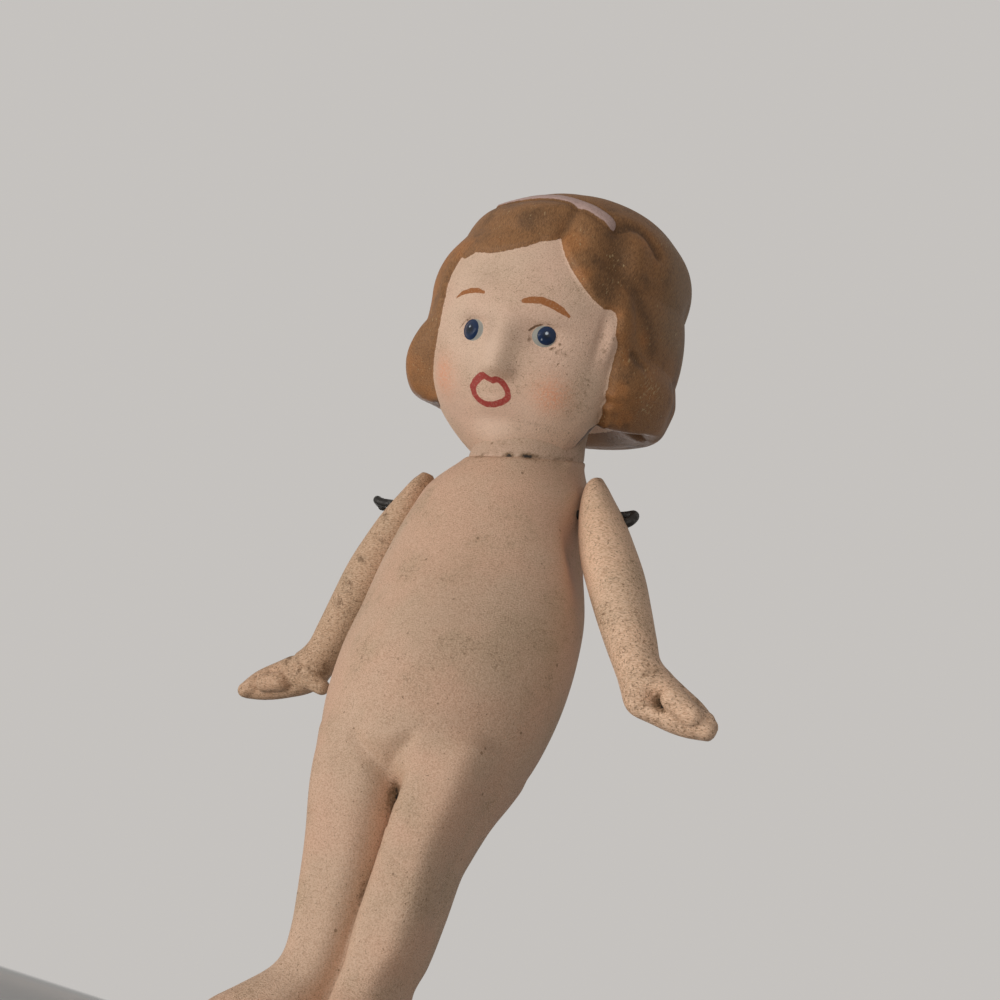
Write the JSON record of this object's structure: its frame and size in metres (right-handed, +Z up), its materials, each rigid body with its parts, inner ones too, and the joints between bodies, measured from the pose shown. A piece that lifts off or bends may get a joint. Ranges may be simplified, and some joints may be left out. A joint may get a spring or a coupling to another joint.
{
  "type": "composition doll",
  "caption": "Small standing child doll with a moulded bob and painted face, a hollow body with moulded legs, and bent arms that swing on one wire through the shoulders.",
  "frame": {"origin": "on the floor under the middle of the doll's bounding box", "axes": "+Z up, -Y the way the doll faces, +X the doll's own left"},
  "size_m": [0.0876, 0.0504, 0.1452],
  "materials": {
    "face_paint": "matte flesh paint with painted features",
    "hair_paint": "satin brown paint",
    "skin_paint": "matte flesh paint, rubbed and soiled",
    "iron": "dark oxide"
  },
  "bodies": {
    "doll": {"head_front_half": "face_paint", "head_back_half": "hair_paint", "body_front_half": "skin_paint", "body_back_half": "skin_paint", "arm_wire": "iron"},
    "right_arm": {"right_arm": "skin_paint"},
    "left_arm": {"left_arm": "skin_paint"}
  },
  "joints": [
    {"name": "right_shoulder", "type": "hinge", "parent": "doll", "child": "right_arm", "pos_m": [0, 0.00245, 0.0861], "axis": [1, 0, 0], "range_deg": [-158, 122]},
    {"name": "left_shoulder", "type": "hinge", "parent": "doll", "child": "left_arm", "pos_m": [0, 0.00245, 0.0861], "axis": [1, 0, 0], "range_deg": [-132, 148]}
  ]
}
